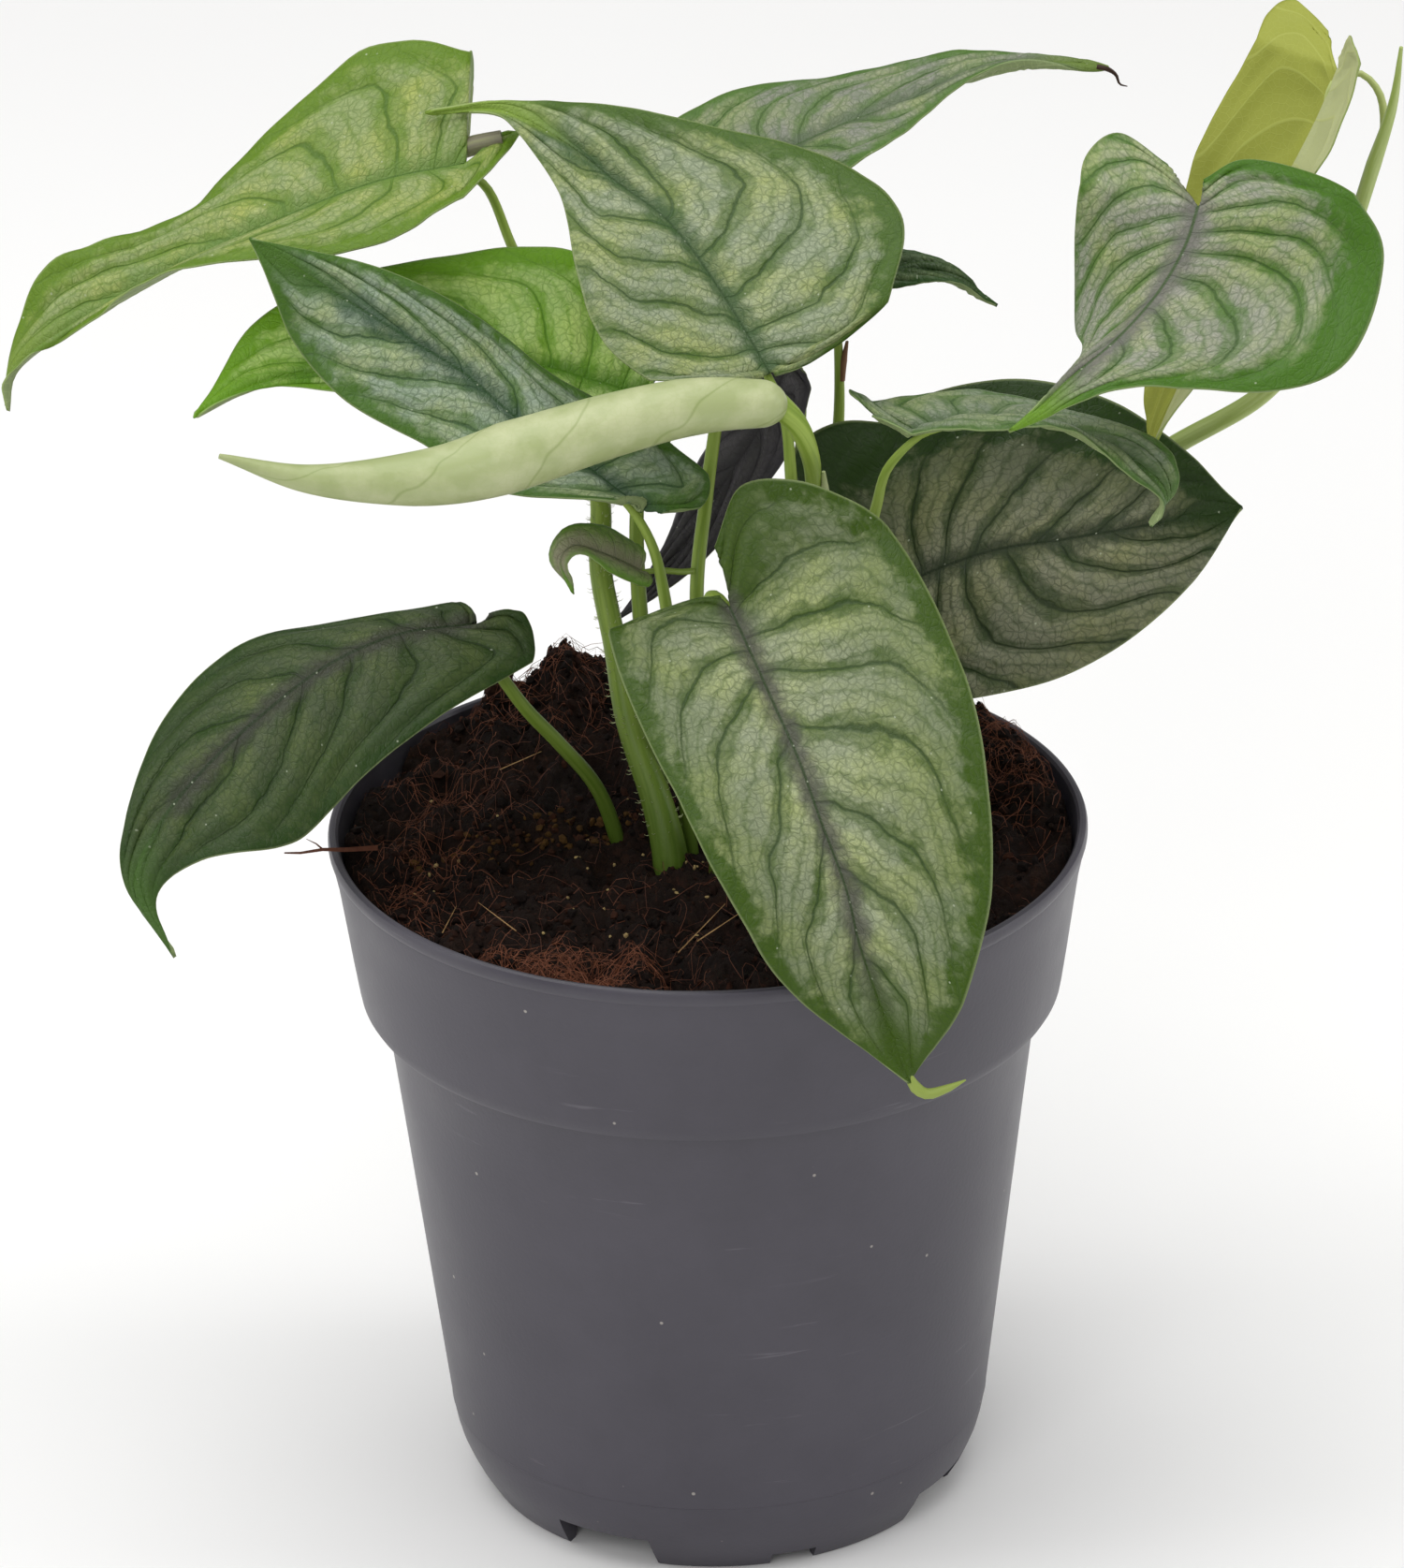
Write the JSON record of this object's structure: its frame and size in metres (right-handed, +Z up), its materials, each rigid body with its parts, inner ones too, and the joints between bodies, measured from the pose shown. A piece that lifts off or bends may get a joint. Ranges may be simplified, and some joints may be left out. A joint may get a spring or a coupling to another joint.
{
  "type": "potted monstera siltepecana",
  "caption": "Young climbing aroid with heart-shaped silver-veined leaves on thin petioles, rooted in peat in a tapered round nursery pot.",
  "frame": {"origin": "middle of the flat disc under the pot, on the surface that the pot stands on", "axes": "+Z up along the pot's axis; the plant is seen from -Y, with +X to the right"},
  "size_m": [0.2181, 0.1286, 0.2402],
  "materials": {
    "pot_plastic": "satin slate grey polypropylene",
    "peat": "dark crumbly peat with coir",
    "stem_green": "smooth pale green stem",
    "leaf_silver": "silvery green leaf with dark net veins",
    "leaf_dark": "dark green leaf with grey fields",
    "leaf_bright": "fresh green leaf",
    "leaf_young": "pale olive young leaf",
    "leaf_rolled": "cream green leaf, still rolled",
    "leaf_withered": "grey purple folded leaf"
  },
  "bodies": {
    "root": {"pot": "pot_plastic", "soil": "peat", "climbing_shoot": "stem_green", "leaf_top_left": "leaf_silver", "leaf_middle": "leaf_silver", "leaf_back_right": "leaf_silver", "leaf_small_back": "leaf_dark", "leaf_left": "leaf_silver", "leaf_bright": "leaf_bright", "leaf_front": "leaf_silver", "leaf_heart": "leaf_silver", "leaf_young": "leaf_young", "leaf_arching": "leaf_silver", "leaf_low_right": "leaf_dark", "leaf_low_left": "leaf_dark", "leaf_tiny": "leaf_bright", "leaf_folded": "leaf_withered", "leaf_rolled": "leaf_rolled"}
  },
  "joints": []
}
